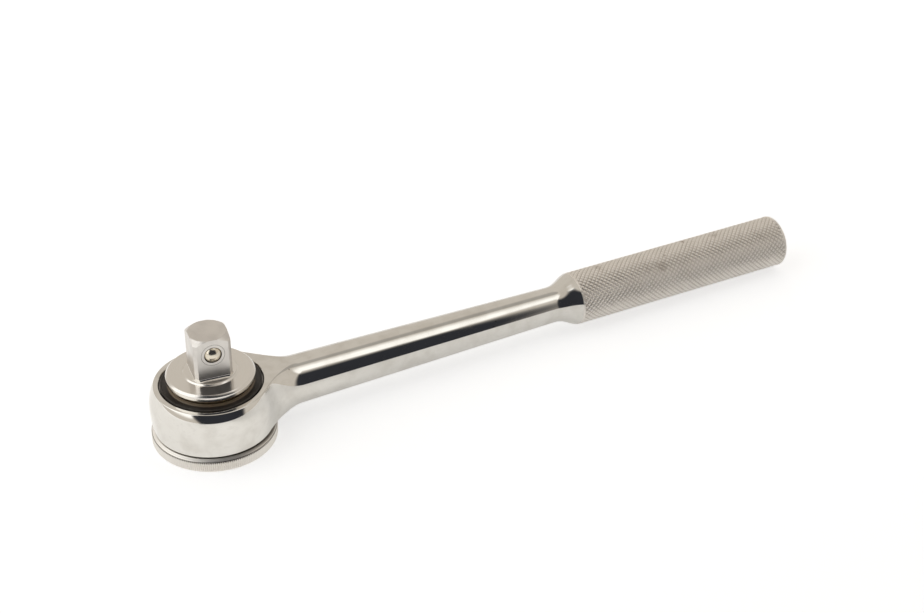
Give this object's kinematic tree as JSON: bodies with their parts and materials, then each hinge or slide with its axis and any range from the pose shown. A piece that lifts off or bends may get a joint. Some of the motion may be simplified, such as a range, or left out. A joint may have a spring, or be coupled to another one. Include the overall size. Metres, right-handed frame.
{
  "type": "ratchet handle",
  "caption": "Round-head reversible ratchet handle with a half-inch drive square, ball detent, knurled reversing ring and knurled grip.",
  "frame": {"origin": "on the drive axis, at the underside of the reversing ring", "axes": "+Z along the drive axis towards the tip of the square, +X along the handle towards the grip"},
  "size_m": [0.2542, 0.0424, 0.0423],
  "materials": {
    "chrome": "polished chrome plate",
    "drive_chrome": "satin chrome plate",
    "ring_chrome": "knurled satin chrome plate",
    "ball_steel": "polished bearing steel",
    "hard_steel": "ground hardened steel",
    "spring_steel": "oil-blackened spring steel",
    "rubber": "matte dark rubber"
  },
  "bodies": {
    "handle": {"handle": "chrome", "retaining_ring": "spring_steel", "dust_seal": "rubber"},
    "spindle": {"drive_spindle": "drive_chrome", "socket_ball_spring": "spring_steel", "pawl_pin_left": "hard_steel", "pawl_pin_right": "hard_steel", "pawl_spring_left": "spring_steel", "pawl_spring_right": "spring_steel", "stop_pin": "hard_steel", "index_spring": "spring_steel", "ring_clip": "spring_steel"},
    "reversing_ring": {"reversing_ring": "ring_chrome", "cam_plate": "hard_steel", "cam_dowel_1": "hard_steel", "cam_dowel_2": "hard_steel"},
    "pawl_left": {"pawl_left": "hard_steel"},
    "pawl_right": {"pawl_right": "hard_steel"},
    "socket_ball": {"socket_ball": "ball_steel"},
    "index_ball": {"index_ball": "ball_steel"}
  },
  "joints": [
    {"name": "spindle_turn", "type": "hinge", "parent": "handle", "child": "spindle", "pos_m": [0, 0, 0], "axis": [0, 0, 1], "continuous": true},
    {"name": "ring_turn", "type": "hinge", "parent": "spindle", "child": "reversing_ring", "pos_m": [0, 0, 0], "axis": [0, 0, 1], "range_deg": [0, 50]},
    {"name": "pawl_left_swing", "type": "hinge", "parent": "spindle", "child": "pawl_left", "pos_m": [0.0042, 0.01124, 0.0083], "axis": [0, 0, 1], "range_deg": [-13, 0], "deforming": ["pawl_spring_left"]},
    {"name": "pawl_right_swing", "type": "hinge", "parent": "spindle", "child": "pawl_right", "pos_m": [0.00157, -0.0119, 0.0083], "axis": [0, 0, 1], "range_deg": [-13, 0], "deforming": ["pawl_spring_right"]},
    {"name": "socket_ball_press", "type": "slide", "parent": "spindle", "child": "socket_ball", "axis": [0.1132, 0.9936, 0], "range_m": [0, 0.0013], "stiffness_N_per_m": 2500, "springref_m": -0.002, "deforming": ["socket_ball_spring"]},
    {"name": "index_ball_lift", "type": "slide", "parent": "spindle", "child": "index_ball", "axis": [0, 0, 1], "range_m": [0, 0.0004], "stiffness_N_per_m": 1500, "springref_m": -0.002, "deforming": ["index_spring"]}
  ],
  "couplings": [
    {"joint": "pawl_left_swing", "follows": "ring_turn", "ratio": -0.26},
    {"joint": "pawl_right_swing", "follows": "ring_turn", "ratio": -0.26}
  ]
}
